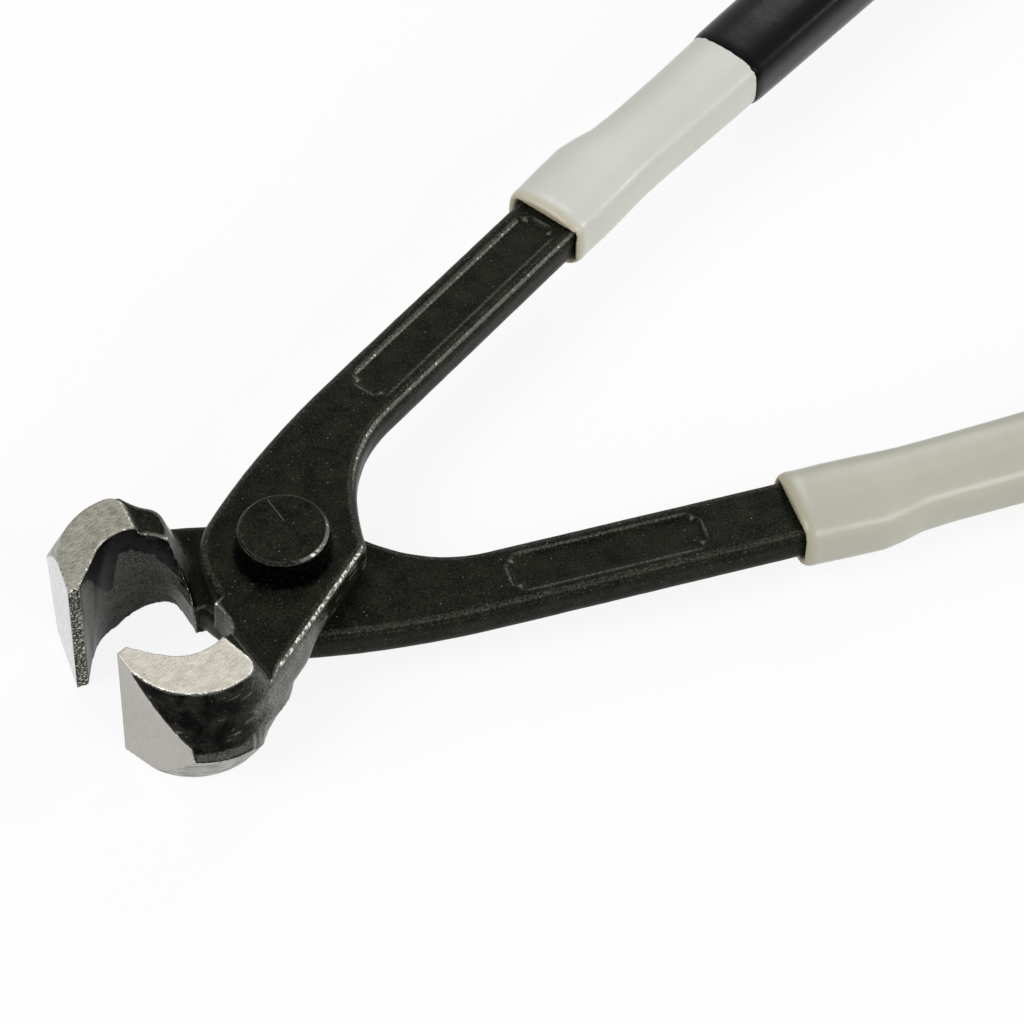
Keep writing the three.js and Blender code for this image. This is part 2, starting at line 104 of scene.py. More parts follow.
# Worn crests: the rounds of smoothing that show them, the height at which one is full, and how
# far one still shows inside a ground face
CREST_ROUNDS = 6
CREST_HEIGHT = 0.1
CREST_REACH = 0.05

# The forging's skin: the height and the width of its low lumps, and on the jaw's walls those of
# the dents and of the slower lumps between them. A dent starts below a level of the noise, and
# fades out where the wall turns to face the joint. The skin is calm at the rim of a ground face,
# and at corners, which stand out of it.
SKIN_LUMPS = (0.04, 2.4)
WALL_DENTS = (0.16, 1.7)
WALL_LUMPS = (0.06, 3.3)
DENT_LEVEL = 0.15
DENT_FADE = (0.4, 0.1)
DENTS_END = -12
CALM_RIM = 0.5
KEPT_CORNER = 0.04

# Forms that a half has beyond its CAD: how far its points move, and where along an axis the move
# fades in, from the first place to the second
NECK = (("x", -24, -14.5), ("x", -4, -11), ("y", -8, -11), ("z", 5, 2), ("z", -6.5, -0.8))
CHEEK = (("x", -9, -12.5), ("x", -17, -14.5), ("y", -6, -2), ("y", 9, 4), ("z", -1.5, 0.3))
WALL_END = (
    ("x", -16.5, -15),
    ("x", -12, -13),
    ("y", -3.4, -0.6),
    ("y", 2.5, 0.8),
    ("z", -3, -1.6),
    ("z", 0.25, -0.05),
)
FORMS = {
    # The flank swells below the neck of the plate. The thin end of the mouth's wall, under the
    # plate, stays clear of the lower half's cheek.
    "upper": ((NECK, (0.28, -0.97, 0)), (WALL_END, (0, -1.5, 0))),
    # The swell is less here, and the plate's cheek reaches further over the closing line.
    "lower": ((NECK, (0.1, -0.3, 0)), (CHEEK, (-0.4, 1.5, 0))),
}

# The paint on the plate round the rivet's head: its height, its width, how lumpy it is, and how
# far from the head it is looked for. Then how far from the head a shade is painted nearly black,
# how much further that painted shade reaches, and the side towards which it reaches further
HEAD_RADIUS = 6.6
PLATE_TOP, PLATE_SLACK = 5.75, 0.3
RING_HEIGHT, RING_WIDTH, RING_LUMPS = 0.4, 0.8, 0.5
RING_REACH = (-1, 3)
SHADE_REACH, SHADE_SPREAD = 1, 2
SHADE_WAY = (-0.736, -0.677)

# Rivet: the lumps of its skin, how strongly a glint is painted as worn dots on its edge and how
# that fades by the way the edge faces, the painted shade on its side, and a fine scratch on its
# flat top
HEAD_LUMPS = (0.03, 2)
HEAD_GLINT, HEAD_GLINT_FADE = 0.88, (0.8, 0.94)
HEAD_SIDE_SHADE = 0.8
HEAD_TOP = 0.9
SCRATCH = ((1.02, 5.31), (0.91, 1.45))
SCRATCH_WIDTH, SCRATCH_FADE = 0.15, 0.5

# The wall of the mouth and the flank of the jaw: the middle of each, how far its skin faces
# towards that middle or away from it, and where it ends
MOUTH_CENTRE, MOUTH_FACING, MOUTH_END = (-21.2, -0.9), -2, -13
FLANK_CENTRE, FLANK_FACING, FLANK_END = (-21.6, -4.2), 2, (12, -4)

# Enamel: how deep a dark shade is painted down the mouth's wall at each turn round it, the line
# where the dies parted, and the way that the edges face on which a glint is painted as worn dots
SHADE_TURNS = (175, 200, 225, 251, 262, 300, 340)
SHADE_DEPTHS = (1, 3, 9, 13, 5, 6, 10)
PARTING = (("z", -3.2, -2.4), ("z", -0.5, -1.3))
GLINT_WAY = Vector((0.36, -0.59, 0.72)).normalized()

# How strongly a paler sheen of reflected light is painted on the enamel behind the jaw, at the
# line where the dies parted, in strokes along the flank, beside the plate, and in the mouth
PAINTED_SHEEN = {"behind": 1.1, "parting": 0.45, "strokes": 0.6, "strip": 0.5, "mouth": 0.42}

# How strongly a dark reflection is painted nearly black in front of the jaw, how much a patch of
# noise adds to each, and what the painted sheen loses at the plate's rim, the painted dark
# reflection where the dies parted, and the painted glint on the arm
FLANK_SHADE = 0.55
PATCHY = {"behind": 0.15, "strip": 0.3, "gloss": 0.9}
LOSS = {"rim": 0.6, "parting": 2, "arm": 0.16}

# Where these marks fade in, from the first value to the second: by the way that the skin faces,
# by the strength of a noise, along the tool, or by height
FADES = {
    "shade_run": (-0.8, 0.8),
    "behind": (-0.27, 0.35),
    "front": (0.1, -0.25),
    "rubbed": (0.91, 0.99),
    "strokes": (0.3, 0.55),
    "strip": (-12, -8),
    "off_joint": (-1, -9),
    "arm": (6, 16),
    "rim": (3.5, 5.6),
}

# Width of the lumps of noise that they follow. Strokes are long and low.
PATCHES, FRINGES, STROKES = (2.2,), (0.8,), (2.2, 2.2, 0.5)

# Dust on the enamel: one mote in each cell of this width at the most, and its radius
MOTE_CELL, MOTE_RADIUS = 0.9, 0.0765

# Noise in the forged steel's material: the grain in millimetres, its detail and its roughness
GRAINS = {
    "torn edge of the paint": (0.7, 4, 0.5),
    "chips and shade fringes": (0.6, 3, 0.7),
    "grit of sheen, glints and thin paint": (0.3, 2, 0.5),
    "slow clouds in the enamel": (3, 3, 0.5),
    "flecks in the enamel": (0.28, 1, 0.5),
    "orange peel": (0.42, 3, 0.5),
    "clouds in the ground steel": (1.8, 5, 0.7),
    "sand on the ground steel": (0.15, 1, 0.5),
    "pits in the ground steel": (0.34, 2, 0.8),
}

# The turn of the grinding lines in degrees, and the height of the bumps in millimetres
GRINDING_ANGLE = 35
STEEL_RELIEF, VINYL_RELIEF = 0.06, 0.15

# Grey sleeves, in millimetres from their front: how far the rolled lip swells, how it fades out,
# the rounds that soften it, the part that gives its middle, and how far from there the outer skin
# is. Then where the black sleeve starts, and how far the grey one is tucked under it there.
LIP_BULGE, LIP_FADE, LIP_ROUNDS = 0.2, (3, 0.8), 16
LIP_PART = 4
OUTER_SKIN = (1, 3)
COLLAR_END = 44
TUCK, TUCK_FADE_IN, TUCK_FADE_OUT = 1.8, (-4, 0), (7, 2)

# Where the forged piece is parted from its tang, under the grey sleeve
ARM_ROOT = Vector((28, 12.6, 0))
ARM_WAY = (math.cos(math.radians(6.1)), math.sin(math.radians(6.1)), 0)
HIDDEN_FROM = 47


def linear(code):
    """An sRGB hex colour as Blender's linear colour."""
    parts = [int(code[i : i + 2], 16) / 255 for i in (1, 3, 5)]
    curve = [c / 12.92 if c <= 0.04045 else ((c + 0.055) / 1.055) ** 2.4 for c in parts]
    return (*curve, 1)


def add(tree, kind, sockets=(), **settings):
    """A shader node with its settings, and its sockets set or linked.

    A node that is given for a socket stands for the first of its outputs in use. Socket 0 of a
    Mix is the share of the second value. The two values are 2 and 3, or 6 and 7 for colours.
    """
    node = tree.nodes.new("ShaderNode" + kind)
    for name, value in settings.items():
        setattr(node, name, value)
    for key, value in dict(sockets).items():
        if isinstance(value, bpy.types.Node):
            value = next(output for output in value.outputs if output.enabled)
        if isinstance(value, bpy.types.NodeSocket):
            tree.links.new(value, node.inputs[key])
        else:
            node.inputs[key].default_value = value
    return node


def new_material(name):
    """A material without nodes, its tree, and the object's own coordinates."""
    material = bpy.data.materials.new(name)
    material.use_nodes = True
    tree = material.node_tree
    tree.nodes.clear()
    return material, tree, add(tree, "TexCoord").outputs["Object"]


def bare_metal(tree, marks, grain):
    """Where the metal is bare: ground faces with a torn edge, and crests worn through in dots.

    The first value is how far a point is inside that edge, the second how open it is to wear or to
    a glint painted as worn dots on the edges that face one way, and the third the share of bare
    metal, painted glint included.
    """
    edge = add(
        tree,
        "Math",
        {0: grain["torn edge of the paint"], 1: 0.3, 2: marks["ground"]},
        operation="MULTIPLY_ADD",
    )
    bare = add(
        tree,
        "MapRange",
        {"Value": edge, "From Min": 0.1, "From Max": 0.2},
        interpolation_type="SMOOTHSTEP",
    )
    # Crests are worn; edges facing the glint's way get worn dots that stand in for a painted glint
    worn_or_glint = add(tree, "Math", {0: marks["crest"], 1: marks["rubbed"]}, operation="MAXIMUM")
    rub = add(tree, "Math", {0: grain["chips and shade fringes"], 1: worn_or_glint}, operation="MULTIPLY")
    worn = add(
        tree,
        "MapRange",
        {"Value": rub, "From Min": 0.46, "From Max": 0.56, "To Max": 0.7},
        interpolation_type="SMOOTHSTEP",
    )
    metal = add(tree, "Math", {0: bare, 1: worn}, operation="MAXIMUM")
    return edge, worn_or_glint, metal


def scratch_line(tree, coords, marks):
    """A fine straight scratch across the rivet's head."""
    start, end = (Vector(spot) * MM for spot in SCRATCH)
    across = (end - start).orthogonal().normalized()
    way = add(tree, "VectorMath", {0: coords, 1: (*across, 0)}, operation="DOT_PRODUCT")
    half_width = SCRATCH_WIDTH / 2 * MM
    line = add(tree, "Math", {0: way, 1: start @ across, 2: half_width}, operation="COMPARE")
    return add(tree, "Math", {0: marks["scratch"], 1: line}, operation="MULTIPLY")


def enamel_coat(tree, coords, marks, grain, worn_or_glint, metal):
    """The enamel's colour, and the tint of its shine.

    It is cloudy and grainy, streaked grey on its crests and on the edges that face the glint's way
    (thin paint, and a painted highlight), paler where a sheen is painted, nearly black where a
    shade is painted, and full of motes of dust of many tones.
    """
    fleck = {0: grain["flecks in the enamel"], 1: 1.6, 2: grain["slow clouds in the enamel"]}
    mottle = add(tree, "Math", fleck, operation="MULTIPLY_ADD")
    depth = add(tree, "MapRange", {"Value": mottle, "From Min": 1.05, "From Max": 1.55})
    black, pale = (
        add(tree, "Mix", {0: depth, 6: linear(dark), 7: linear(light)}, data_type="RGBA")
        for dark, light in (("#0a0a07", "#22221a"), ("#5e5e5b", "#7c7c77"))
    )
    grit = grain["grit of sheen, glints and thin paint"]
    # Grey streaks on crests and glinting edges: thin paint, and a painted highlight
    glint_streak = add(tree, "Math", {0: grit, 1: worn_or_glint}, operation="MULTIPLY")
    glint_streak = add(
        tree, "MapRange", {"Value": glint_streak, "From Min": 0.1, "From Max": 0.4, "To Max": 0.7}
    )
    # Paler where a sheen of reflected light is painted
    painted_sheen = add(tree, "Math", {0: grit, 1: 1.25, 2: marks["painted_sheen"]}, operation="MULTIPLY_ADD")
    painted_sheen = add(tree, "MapRange", {"Value": painted_sheen, "From Min": 0.78, "From Max": 1.55})
    # Nearly black where a shade or a dark reflection is painted
    shade_sockets = {0: grain["chips and shade fringes"], 1: 1.4, 2: marks["pooled"]}
    pooled = add(tree, "Math", shade_sockets, operation="MULTIPLY_ADD")
    pooled = add(tree, "MapRange", {"Value": pooled, "From Min": 1.0, "From Max": 1.5})

    # Each mote has its own strength, and few are strong
    dust = add(tree, "TexVoronoi", {"Vector": coords, "Scale": 1 / (MOTE_CELL * MM)})
    round_middle = {0: dust.outputs["Distance"], 1: MOTE_RADIUS / MOTE_CELL}
    mote = add(tree, "Math", round_middle, operation="LESS_THAN")
    chance = add(tree, "SeparateColor", {0: dust.outputs["Color"]})
    strength = add(tree, "Math", {0: chance, 1: 3}, operation="POWER")
    speck = add(tree, "Math", {0: mote, 1: strength}, operation="MULTIPLY")

    enamel = black
    for share, tone in (
        (glint_streak, linear("#77776f")),
        (painted_sheen, pale),
        (pooled, linear("#020202")),
        (speck, linear("#9a9a90")),
        (scratch_line(tree, coords, marks), linear("#5a5a54")),
    ):
        enamel = add(tree, "Mix", {0: share, 6: enamel, 7: tone}, data_type="RGBA")

    # Crests shine in full, and the painted shade also takes away most of the reflection of the pale
    # surroundings
    polish = add(tree, "Math", {0: marks["crest"], 1: metal}, operation="MAXIMUM")
    shine = linear("#bcbcbc")
    for share, tone in ((polish, linear("#ffffff")), (pooled, linear("#202020"))):
        shine = add(tree, "Mix", {0: share, 6: shine, 7: tone}, data_type="RGBA")
    return enamel, shine


def ground_steel(tree, coords, marks, grain, edge, crescent_tones, bevel_tones):
    """The colour of the ground faces, and the grinding lines over them.

    The crescents are coarse with a diagonal grit, the bevel is finer with a warm edge, the band
    is streaked, and the lands stay dark with grains of bare metal. All but the lands have pits.
    Bright nicks run along the rims, and a dark seam marks where two of the faces meet.
    """
    slant = add(
        tree,
        "Mapping",
        {"Vector": coords, "Rotation": (0, 0, math.radians(GRINDING_ANGLE)), "Scale": (1, 7, 1)},
    )
    lines = add(tree, "TexNoise", {"Vector": slant, "Scale": 1 / (1.4 * MM), "Detail": 3})
    around = add(tree, "Mapping", {"Vector": coords, "Scale": (1, 1, 6)})
    streaks = add(tree, "TexNoise", {"Vector": around, "Scale": 1 / (2.4 * MM), "Detail": 4})
    cloud, stroke, sand, stripe, speckle, pits, nick = (
        add(tree, "MapRange", {"Value": pattern, "From Min": low, "From Max": high})
        for pattern, low, high in (
            (grain["clouds in the ground steel"], 0.35, 0.65),
            (lines, 0.38, 0.62),
            (grain["sand on the ground steel"], 0.38, 0.62),
            (streaks, 0.4, 0.62),
            (grain["grit of sheen, glints and thin paint"], 0.5, 0.66),
            (grain["pits in the ground steel"], 0.26, 0.4),
            (grain["chips and shade fringes"], 0.5, 0.62),
        )
    )
    cloud = add(tree, "Math", {0: stroke, 1: 0.8, 2: cloud}, operation="MULTIPLY_ADD")
    cloud = add(tree, "Math", {0: sand, 1: 1.2, 2: cloud}, operation="MULTIPLY_ADD")
    cloud = add(tree, "Math", {0: cloud, 1: 1 / 3}, operation="MULTIPLY")
    crescent, bevel, band, land = (
        add(tree, "Mix", {0: share, 6: linear(dark), 7: linear(light)}, data_type="RGBA")
        for share, (dark, light) in (
            (cloud, crescent_tones),
            (cloud, bevel_tones),
            (stripe, ("#77776f", "#bdbdb9")),
            (speckle, ("#33342c", "#d0cec4")),
        )
    )
    warm = add(
        tree,
        "MapRange",
        {"Value": edge, "From Min": 0.22, "From Max": 0.42, "To Min": 0.75, "To Max": 0},
    )
    warm = add(tree, "Math", {0: warm, 1: marks["bevel"]}, operation="MULTIPLY")
    rim = add(
        tree,
        "MapRange",
        {"Value": marks["ground"], "From Min": 0.1, "From Max": 0.45, "To Min": 1, "To Max": 0},
    )
    nicks = add(tree, "Math", {0: rim, 1: nick}, operation="MULTIPLY")

    steel = crescent
    for share, tone in ((marks["bevel"], bevel), (marks["band"], band)):
        steel = add(tree, "Mix", {0: share, 6: steel, 7: tone}, data_type="RGBA")
    steel = add(tree, "Mix", {0: pits, 6: linear("#837f73"), 7: steel}, data_type="RGBA")
    for share, tone in (
        (marks["land"], land),
        (warm, linear("#7a5a3a")),
        (nicks, linear("#e2e0d8")),
        (marks["seam"], linear("#2c2a24")),
    ):
        steel = add(tree, "Mix", {0: share, 6: steel, 7: tone}, data_type="RGBA")
    return steel, lines


def forged_steel(name, crescent_tones, bevel_tones):
    """Drop-forged carbon steel, dipped in black enamel and ground bare at the jaws.

    To the eye the enamel is nearly black with a low shine and an orange peel from the scale
    under it, and it wears to bright metal along its crests. The ground faces are matt and pale.
    Shade, sheen and glints are painted into the enamel's colour as well, where the marks say so.
    """
    material, tree, coords = new_material(name)
    marks = {
        mark: add(tree, "Attribute", attribute_name=mark).outputs["Fac"] for mark in MARKS
    }
    grain = {}
    for use, (width, detail, roughness) in GRAINS.items():
        shape = {"Scale": 1 / (width * MM), "Detail": detail, "Roughness": roughness}
        grain[use] = add(tree, "TexNoise", {"Vector": coords, **shape})

    edge, worn_or_glint, metal = bare_metal(tree, marks, grain)
    enamel, shine = enamel_coat(tree, coords, marks, grain, worn_or_glint, metal)
    steel, lines = ground_steel(tree, coords, marks, grain, edge, crescent_tones, bevel_tones)
    colour = add(tree, "Mix", {0: metal, 6: enamel, 7: steel}, data_type="RGBA")
    gloss, matt = (
        add(tree, "MapRange", {"Value": grain[use], "To Min": low, "To Max": high})
        for use, low, high in (
            ("slow clouds in the enamel", 0.2, 0.42),
            ("clouds in the ground steel", 0.4, 0.62),
        )
    )

    # Relief: orange peel on the enamel, grit and slanting lines on the ground faces
    cut = {0: lines, 1: 0.6, 2: grain["pits in the ground steel"]}
    cut = add(tree, "Math", cut, operation="MULTIPLY_ADD")
    height = add(tree, "Mix", {0: metal, 2: grain["orange peel"], 3: cut}, data_type="FLOAT")
    relief = {"Height": height, "Strength": 0.6, "Distance": STEEL_RELIEF * MM}
    surface = add(
        tree,
        "BsdfPrincipled",
        {
            "Base Color": colour,
            "Metallic": add(tree, "Math", {0: metal, 1: 0.9}, operation="MULTIPLY"),
            "Roughness": add(tree, "Mix", {0: metal, 2: gloss, 3: matt}, data_type="FLOAT"),
            "Specular Tint": shine,
            "Specular IOR Level": 0.07,
            "Normal": add(tree, "Bump", relief),
        },
    )
    add(tree, "OutputMaterial", {"Surface": surface})
    return material


def vinyl(name, tones, lip, roughness, shine):
    """Dipped PVC: one soft colour with a slow cloudiness, and a satin skin that is a little wavy.

    The rolled lip at the front of a sleeve is thin and lets a warmer tone through.
    """
    material, tree, coords = new_material(name)
    cloud = add(tree, "TexNoise", {"Vector": coords, "Scale": 1 / (9 * MM), "Detail": 2})
    dark, light = (linear(tone) for tone in tones)
    colour = add(tree, "Mix", {0: cloud, 6: dark, 7: light}, data_type="RGBA")
    front = add(tree, "Attribute", attribute_name="front").outputs["Fac"]
    edge = add(
        tree,
        "MapRange",
        {"Value": front, "From Min": 0.4, "From Max": 2, "To Min": 0.8, "To Max": 0},
    )
    wave = add(tree, "TexNoise", {"Vector": coords, "Scale": 1 / (2.6 * MM), "Detail": 3})
    relief = {"Height": wave, "Strength": 0.25, "Distance": VINYL_RELIEF * MM}
    surface = add(
        tree,
        "BsdfPrincipled",
        {
            "Base Color": add(tree, "Mix", {0: edge, 6: colour, 7: linear(lip)}, data_type="RGBA"),
            "Roughness": roughness,
            "Specular Tint": linear(shine),
            "Normal": add(tree, "Bump", relief),
        },
    )
    add(tree, "OutputMaterial", {"Surface": surface})
    return material


def merged_copy(node):
    """A CAD node's mesh with its corners joined, as a bmesh."""
    bm = bmesh.new()
    bm.from_mesh(frame["nodes"][node].data)
    bmesh.ops.remove_doubles(bm, verts=bm.verts, dist=MM / 1000)
    return bm


def new_piece(bm, name):
    """An object of its own from a bmesh, which is used up."""
    mesh = bpy.data.meshes.new(name)
    bm.to_mesh(mesh)
    bm.free()
    piece = bpy.data.objects.new(name, mesh)
    scene.collection.objects.link(piece)
    return piece


def refine(piece, size_mm, rounds):
    """Small even faces over the whole piece, with its corners eased."""
    remesh = piece.modifiers.new("Even faces", "REMESH")
    remesh.mode = "VOXEL"
    remesh.voxel_size = size_mm * MM
    remesh.use_smooth_shade = True
    ease = piece.modifiers.new("Eased corners", "SMOOTH")
    ease.iterations = rounds
    depsgraph = bpy.context.evaluated_depsgraph_get()
    fine = bpy.data.meshes.new_from_object(piece.evaluated_get(depsgraph))
    piece.modifiers.clear()
    coarse = piece.data
    piece.data = fine
    bpy.data.meshes.remove(coarse)
    fine.name = piece.name


def finish(piece, material, body, node):
    """Gives a piece its finish and its body, and hides the CAD node that it stands for."""
    piece.data.materials.clear()
    piece.data.materials.append(material)
    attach(piece, body)
    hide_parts(node)


def read(mesh_part, name, width):
    """The values of a mesh's points, or other parts, as the rows of an array."""
    values = np.empty(len(mesh_part) * width, np.float32)
    mesh_part.foreach_get(name, values)
    return values.reshape(-1, width).astype(float)


def place_points(mesh, points):
    """Puts every point of a mesh in a new place."""
    mesh.vertices.foreach_set("co", points.astype(np.float32).ravel())
    mesh.update()


def write(mesh, **marks):
    """Puts marks at the points of a mesh, for its material to read."""
    for name, values in marks.items():
        layer = mesh.attributes.new(name, "FLOAT", "POINT")
        layer.data.foreach_set("value", np.asarray(values, np.float32))


def eased(values, low, high):
    """A smooth step from 0 at the first place to 1 at the second."""
    share = np.clip((values - low) / (high - low), 0, 1)
    return share * share * (3 - 2 * share)


def faded(place, spans):
    """The product of the smooth steps along the axes that the spans name."""
    share = np.ones(len(place))
    for axis, low, high in spans:
        share *= eased(place[:, "xyz".index(axis)], low, high)
    return share


def clouds(place, *widths):
    """Smooth noise at each point, with lumps of one width, or of one along each axis."""
    return np.array([noise.noise(Vector(spot)) for spot in place / np.array(widths)])


def softened(mesh, points, rounds):
    """The points after some rounds of moving halfway to their neighbours."""
    edges = np.empty(len(mesh.edges) * 2, np.int32)
    mesh.edges.foreach_get("vertices", edges)
    a, b = edges.reshape(-1, 2).T
    count = np.bincount(edges, minlength=len(points))[:, None]
    soft = points.copy()
    for _ in range(rounds):
        total = np.stack(
            [
                np.bincount(a, soft[b, k], len(points)) + np.bincount(b, soft[a, k], len(points))
                for k in range(3)
            ],
            axis=1,
        )
        soft = (soft + total / count) / 2
    return soft


def crests(mesh, points):
    """How far each point stands out of its neighbours' smoothed place, in metres, and normals."""
    normals = read(mesh.vertex_normals, "vector", 3)
    return ((points - softened(mesh, points, CREST_ROUNDS)) * normals).sum(1), normals


def closed(points, half, place=True):
    """Points, or directions, of a half in its closed pose, in millimetres."""
    points = np.array(points, float).reshape(-1, 3)
    if place:
        points = points / MM - np.array([0, 0, LAP])
    if half == "lower":
        points = points * np.array([1, -1, -1])
    c, s = math.cos(HALF_TURN), math.sin(HALF_TURN)
    x, y, z = points.T
    return np.stack([x * c + y * s, y * c - x * s, z], axis=1)


def opened(shifts, half):
    """Shifts in a half's closed pose, in millimetres, as shifts in the pose shown, in metres."""
    c, s = math.cos(HALF_TURN), math.sin(HALF_TURN)
    x, y, z = shifts.T
    turned = np.stack([x * c - y * s, x * s + y * c, z], axis=1)
    if half == "lower":
        turned = turned * np.array([1, -1, -1])
    return turned * MM


def zone_of(corners, normal, half):
    """Which ground face a facet of the forging belongs to, or none."""
    x, y, z = corners.T
    if abs(normal[2]) > SQUARELY and np.all(np.abs(z) > JAW_HALF - SLACK["crescent"]):
        return "crescent"
    if normal[1] > SQUARELY and np.all(x < LAND_WIDTH + SLACK["land"] - NOSE_REACH):
        return "land"
    lean = np.radians(BEVEL_ANGLE - NOSE_ROLL[half] * np.clip(z / JAW_HALF, 0, 1))
    off_bevel = np.abs(x + NOSE_REACH + y * np.tan(lean))
    if normal[0] < FORWARDS and np.all(off_bevel < SLACK["bevel"]):
        return "bevel"
    share = (z - BAND_LEVELS[0]) / (BAND_LEVELS[1] - BAND_LEVELS[0])
    cx, cy, radius = (lo + (hi - lo) * share for lo, hi in zip(*BAND_CIRCLES))
    off_band = np.abs(np.hypot(x - cx, y - cy) - radius)
    if normal[2] < DOWNWARDS and np.all(off_band < SLACK["band"]):
        return "band"
    return None


def near(points):
    """A tree that finds the nearest of some points."""
    tree = KDTree(len(points))
    for i, point in enumerate(points):
        tree.insert(point, i)
    tree.balance()
    return tree


def ground_faces(bm, half):
    """The zone of every facet, and where the ground faces end or meet each other."""
    zones = []
    for face in bm.faces:
        corners = closed([v.co for v in face.verts], half)
        normal = closed([face.normal], half, place=False)[0]
        zones.append(zone_of(corners, normal, half))
    rim, seam = [], []
    bm.faces.index_update()
    for edge in bm.edges:
        sides = {zones[face.index] for face in edge.link_faces}
        if len(sides) == 2:
            a, b = (v.co for v in edge.verts)
            steps = max(1, int((b - a).length / (RIM_STEP * MM)))
            line = [a.lerp(b, i / steps) for i in range(steps + 1)]
            if None in sides:
                rim.extend(line)
            elif sides == {"crescent", "bevel"}:
                seam.extend(line)
    return zones, near(rim), near(seam)


def ground_marks(whole, half, points, place):
    """How far each point is inside a ground face, or outside it, and the marks of each zone."""
    surface = BVHTree.FromBMesh(whole)
    zones, rim, seam = ground_faces(whole, half)
    ground = np.full(len(points), -float(RIM_LIMIT))
    marks = {name: np.zeros(len(points)) for name in ("bevel", "band", "land", "seam")}
    for i in np.nonzero(place[:, 0] < JAW_END)[0]:
        point = Vector(points[i])
        zone = zones[surface.find_nearest(point)[2]]
        away = min(rim.find(point)[2] / MM, RIM_LIMIT)
        ground[i] = away if zone else -away
        if zone in marks:
            marks[zone][i] = 1
        if half == "lower" and ground[i] > -SEAM_WIDTH:
            marks["seam"][i] = max(0, 1 - seam.find(point)[2] / MM / SEAM_WIDTH)
    return ground, marks


def enamel_marks(place, facing, normals, ground):
    """Where painted shade, painted sheen and a painted glint of worn dots lie, from 0 to 1."""
    x, y, z = place.T
    upright = np.abs(facing[:, 2]) < UPRIGHT
    patch, fringe = clouds(place, *PATCHES), clouds(place, *FRINGES)

    # Down the mouth's wall a dark shade is painted, deepest at the turns listed, and a paler sheen
    inward = place[:, :2] - np.array(MOUTH_CENTRE)
    mouth = upright & ((inward * facing[:, :2]).sum(1) < MOUTH_FACING) & (x < MOUTH_END)
    turn = np.degrees(np.arctan2(inward[:, 1], inward[:, 0])) % 360
    shade_run = np.interp(turn, SHADE_TURNS, SHADE_DEPTHS) - (z + JAW_HALF) + fringe
    pooled = mouth * eased(shade_run, *FADES["shade_run"])

    # On the flank a sheen is painted behind the jaw, below the parting, in strokes, beside the
    # plate
    outward = place[:, :2] - np.array(FLANK_CENTRE)
    flank = upright & ((outward * facing[:, :2]).sum(1) > FLANK_FACING)
    flank &= (x < FLANK_END[0]) & (y < FLANK_END[1])
    parting = PAINTED_SHEEN["parting"] * faded(place, PARTING)
    strokes = PAINTED_SHEEN["strokes"] * eased(clouds(place, *STROKES), *FADES["strokes"])
    off_joint = eased(x, *FADES["off_joint"]) * (1 - LOSS["rim"] * eased(z, *FADES["rim"]))
    behind = PAINTED_SHEEN["behind"] * eased(facing[:, 0] + PATCHY["behind"] * patch, *FADES["behind"])
    strip = PAINTED_SHEEN["strip"] * eased(x, *FADES["strip"]) + PATCHY["strip"] * patch
    painted_sheen = np.maximum.reduce([behind * off_joint, parting, strokes, strip * off_joint])
    painted_sheen = flank * painted_sheen + PAINTED_SHEEN["mouth"] * mouth
    # In front of the jaw a dark reflection is painted nearly black on the flank
    gloss = eased(facing[:, 0], *FADES["front"]) * (FLANK_SHADE + PATCHY["gloss"] * patch)
    gloss *= 1 - LOSS["parting"] * parting
    pooled = np.maximum(pooled, flank * np.clip(gloss, 0, 1))

    painted = ground < -SEAM_WIDTH
    # A glint is painted as worn dots on edges that face the glint's way, less on the arm
    rubbed = eased(normals @ np.array(GLINT_WAY), *FADES["rubbed"])
    rubbed *= 1 - LOSS["arm"] * eased(x, *FADES["arm"])
    return {"pooled": painted * pooled, "painted_sheen": painted * painted_sheen, "rubbed": painted * rubbed}


def forged_skin(place, facing, ground, out):
    """How far each point stands out of the CAD's plain faces, in millimetres.

    The ground faces are left alone, and corners keep their line.
    """
    calm = np.clip(-ground / CALM_RIM, 0, 1)
    calm *= np.clip(1.2 - np.abs(out) / (KEPT_CORNER * MM), 0, 1)
    rough = calm > 0
    height, width = SKIN_LUMPS
    shift = np.zeros(len(place))
    shift[rough] = height * calm[rough] * clouds(place[rough], width)
    wall = rough & (place[:, 0] < DENTS_END) & (np.abs(facing[:, 2]) <= FLAT)
    dent = np.minimum(0, clouds(place[wall], WALL_DENTS[1]) + DENT_LEVEL)
    lump = clouds(place[wall], WALL_LUMPS[1])
    deep = calm[wall] * eased(facing[wall, 0], *DENT_FADE)
    shift[wall] += deep * (WALL_DENTS[0] * dent + WALL_LUMPS[0] * lump)
    return shift


def paint_ring_and_shade(points, place, facing, marks):
    """Paint gathered round the rivet's head, and a shade painted there, furthest on one side."""
    away = np.hypot(place[:, 0], place[:, 1]) - HEAD_RADIUS
    ring = (away > RING_REACH[0]) & (away < RING_REACH[1])
    ring &= (np.abs(facing[:, 2]) > FLAT) & (place[:, 2] > PLATE_TOP - PLATE_SLACK)
    spots, away = place[ring], away[ring]
    lump = 1 + RING_LUMPS * clouds(spots, RING_WIDTH)
    points[ring, 2] += RING_HEIGHT * lump * np.exp(-np.maximum(away, 0) / RING_WIDTH) * MM
    # Shade is painted nearly black next to the head, and reaches further on one side
    shade_run = spots[:, :2] @ np.array(SHADE_WAY) / (HEAD_RADIUS + away)
    marks["pooled"][ring] = eased(away, SHADE_REACH + SHADE_SPREAD * np.maximum(shade_run, 0), 0)


